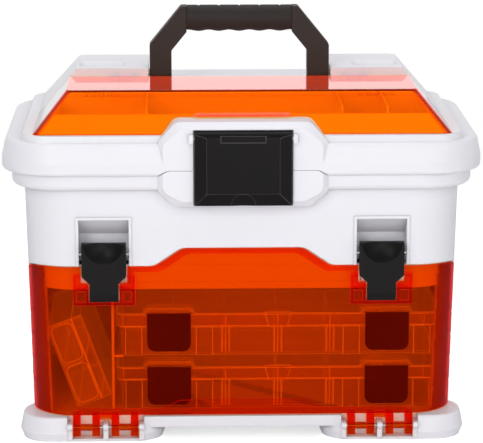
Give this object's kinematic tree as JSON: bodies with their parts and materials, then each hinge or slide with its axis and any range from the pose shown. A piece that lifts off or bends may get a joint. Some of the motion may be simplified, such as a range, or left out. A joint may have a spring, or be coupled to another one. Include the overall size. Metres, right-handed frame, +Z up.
{
  "type": "tackle box",
  "caption": "Tall free-standing case with a hinged tray lid, a see-through lid cover, a fold-down handle, a toggle latch and a see-through drop-down door over flat utility boxes.",
  "frame": {"origin": "middle of the footprint, on the plane the feet stand on", "axes": "+X to the right seen from the front, -Y towards the front door and main latch, +Z up"},
  "size_m": [0.521, 0.329, 0.4598],
  "materials": {
    "white_shell": "satin moulded",
    "black_shell": "satin moulded",
    "soft_grip": "satin",
    "orange_clear": "clear gloss",
    "box_clear": "clear gloss",
    "box_latch": "satin moulded",
    "pin_steel": "drawn wire"
  },
  "bodies": {
    "lower_case": {"base_plinth": "white_shell", "door_hinge_pins": "pin_steel", "lower_cabinet": "white_shell", "bay_partition": "white_shell", "upper_tub": "white_shell", "lid_hinge_pins": "pin_steel", "door_latch_pins": "pin_steel", "lower_box_base": "box_clear", "lower_box_lid": "box_clear", "lower_box_dividers": "box_clear", "lower_box_latch_left": "box_latch", "lower_box_latch_right": "box_latch", "upper_box_base": "box_clear", "upper_box_lid": "box_clear", "upper_box_dividers": "box_clear", "upper_box_latch_left": "box_latch", "upper_box_latch_right": "box_latch", "small_case_base": "box_clear", "small_case_lid": "box_clear"},
    "lid": {"lid_shell": "white_shell", "lid_tray": "white_shell", "tray_dividers": "white_shell", "cover_hinge_pins": "pin_steel", "handle_pins": "pin_steel", "main_latch_pin": "pin_steel"},
    "cover": {"top_cover": "orange_clear"},
    "handle": {"handle_frame": "black_shell", "handle_grip": "soft_grip"},
    "front_latch": {"main_latch": "black_shell"},
    "door": {"front_door": "orange_clear"},
    "left_door_latch": {"door_latch_left": "black_shell"},
    "right_door_latch": {"door_latch_right": "black_shell"}
  },
  "joints": [
    {"name": "front_door_hinge", "type": "hinge", "parent": "lower_case", "child": "door", "pos_m": [0, -0.14671, 0.017], "axis": [1, 0, 0], "range_deg": [0, 90]},
    {"name": "left_door_latch_hinge", "type": "hinge", "parent": "lower_case", "child": "left_door_latch", "pos_m": [-0.15, -0.14087, 0.21], "axis": [-1, 0, 0], "range_deg": [0, 90]},
    {"name": "right_door_latch_hinge", "type": "hinge", "parent": "lower_case", "child": "right_door_latch", "pos_m": [0.15, -0.14087, 0.21], "axis": [-1, 0, 0], "range_deg": [0, 90]},
    {"name": "lid_hinge", "type": "hinge", "parent": "lower_case", "child": "lid", "pos_m": [0, 0.16, 0.3], "axis": [-1, 0, 0], "range_deg": [0, 100]},
    {"name": "top_cover_hinge", "type": "hinge", "parent": "lid", "child": "cover", "pos_m": [0, -0.0101, 0.3794], "axis": [-1, 0, 0], "range_deg": [0, 85]},
    {"name": "handle_hinge", "type": "hinge", "parent": "lid", "child": "handle", "pos_m": [0, 0.014, 0.384], "axis": [-1, 0, 0], "range_deg": [0, 90]},
    {"name": "main_latch_hinge", "type": "hinge", "parent": "lid", "child": "front_latch", "pos_m": [0, -0.1565, 0.339], "axis": [-1, 0, 0], "range_deg": [0, 100]}
  ]
}
